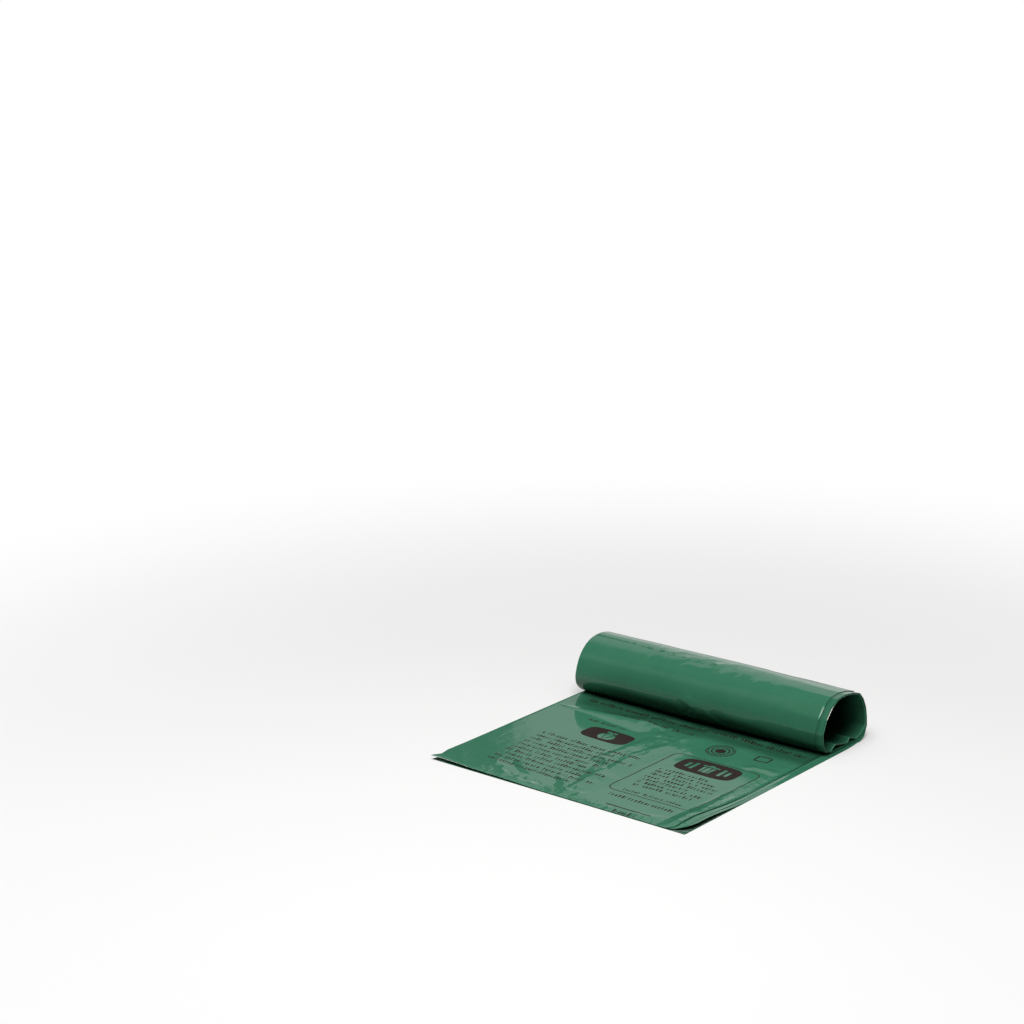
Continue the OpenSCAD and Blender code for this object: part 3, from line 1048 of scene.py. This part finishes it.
# Stage: a pale floor that turns white further out for the camera, one soft lamp above the camera
# side, and a world whose pale backdrop shows in the film's gloss.
stage = {
    "half": 9,  # half the floor's width, in metres
    "floor": (0.83, 0.822, 0.82, 1),
    "floorRough": 0.9,
    "bounce": (0.50, 0.50, 0.50, 1),  # the floor as it lights the roll
    "inGloss": 0.55,  # how far it has its own colour in the film's gloss
    "whiteNear": 0.25,  # share of plain white that the camera sees in the near floor
    "whiteFrom": 0.35,  # metres from the middle
    "whiteTo": 1.6,
    "lamp": (0.30, -0.80, 2.15),
    "lampSize": 1.5,
    "lampPower": 47,
    "soft": (0.03, 1.15),  # diffuse light from the world, level and overhead
    "backdrop": 0.57,
    "horizon": 0.95,
    "horizonTop": (20, 2),  # degrees from where it fades to where it is full
    "backdropTop": (52, 44),
    "ahead": (100, 70),  # how far round the backdrop reaches
    "beside": (24, 34, 0.75),  # it dims to this share between two turns
    "room": 0.05,
    "low": (24, 4, 0.25),  # light behind the camera: from and to in height, and its strength
    "dark": (37.42, 37.72, 25, 30),  # a dark side: from and to in turn, and its top
    "darkEnd": (80, 70),
    "darkDepth": 0.97,
    "strip": (24, 5, 32, 0.7),  # a bright strip in the backdrop: turn, half width, top and added light
    "glows": [  # soft lights: turn, height, inner and outer size, strength
        (118, 50, 4, 14, 0.26),
        (-25, 68, 10, 28, 0.45),
    ],
}


def makeFloor():
    mesh = bpy.data.meshes.new("floor")
    h = stage["half"]
    mesh.from_pydata([(-h, -h, 0), (h, -h, 0), (h, h, 0), (-h, h, 0)], [], [(0, 1, 2, 3)])
    floor = addObject("floor", mesh)
    material, shader = newMaterial("paleFloor")
    shader.inputs["Roughness"].default_value = stage["floorRough"]
    place = Wire.node("TexCoord", None, None, "Object")
    away = Wire.node("VectorMath", {"operation": "LENGTH"}, {0: place}, "Value")
    seen, shiny = seenBy()
    colour = mixColour(seen.most(shiny * stage["inGloss"]), stage["bounce"], stage["floor"])
    Wire.tree.links.new(colour.socket, shader.inputs["Base Color"])
    white = Wire.node("Emission", None, {"Color": (1, 1, 1, 1), "Strength": 1.0})
    near = stage["whiteNear"]
    factor = (away.ease(stage["whiteFrom"], stage["whiteTo"]) * (1 - near) + near) * seen
    putSurface(factor, shader, white)
    mesh.materials.append(material)
    floor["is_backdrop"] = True


def makeWorld():
    k = stage
    world = bpy.data.worlds.new("studio")
    bpy.context.scene.world = world
    world.use_nodes = True
    Wire.tree = world.node_tree
    way = Wire.node("TexCoord", None, None, "Generated")
    x, y, z = parted(way)
    height = z.maths("ARCSINE") * (180 / math.pi)
    turn = (x * -1).maths("ARCTAN2", y) * (180 / math.pi)
    ahead = turn.size().ease(*k["ahead"])
    brighter = k["horizon"] - k["backdrop"]
    wall = height.ease(*k["horizonTop"]) * brighter + k["backdrop"]
    wall = wall * height.ease(*k["backdropTop"]) * ahead
    first, last, top, topEnd = k["dark"]
    dark = turn.ease(first, last) * turn.ease(*k["darkEnd"]) * height.ease(topEnd, top)
    first, last, dim = k["beside"]
    wall = wall * (1 - dark * k["darkDepth"]) * (turn.ease(first, last) * (1 - dim) + dim)
    middle, half, top, added = k["strip"]
    wall = wall + (turn - middle).size().ease(half, half * 0.4) * height.ease(top + 4, top) * added
    glow = 0
    for glowTurn, glowHeight, inner, outer, strength in k["glows"]:
        sideways = (turn - glowTurn) * math.cos(math.radians(glowHeight))
        away = (sideways**2 + (height - glowHeight) ** 2) ** 0.5
        glow = away.ease(outer, inner) * strength + glow
    first, last, strength = k["low"]
    low = height.ease(first, last) * strength * (1 - ahead)
    gloss = wall + glow + low + k["room"]
    soft = z.most(0) ** 4 * (k["soft"][1] - k["soft"][0]) + k["soft"][0]
    seen, shiny = seenBy()
    light = soft * (1 - shiny) + gloss * shiny
    light = light * (1 - seen) + seen
    Wire.tree.links.new(light.socket, world.node_tree.nodes["Background"].inputs["Strength"])
    world.node_tree.nodes["Background"].inputs["Color"].default_value = (1, 1, 1, 1)


def makeLamp():
    data = bpy.data.lights.new("overhead", "AREA")
    data.size = stage["lampSize"]
    data.energy = stage["lampPower"]
    lamp = addObject("overhead", data)
    lamp.location = stage["lamp"]
    aim = Vector((0, 0, 0)) - lamp.location
    lamp.rotation_euler = aim.to_track_quat("-Z", "Y").to_euler()
    lamp.visible_glossy = False


makeFloor()
makeWorld()
makeLamp()
bpy.context.scene.view_settings.view_transform = "Standard"
print("stage: floor, world and one lamp")
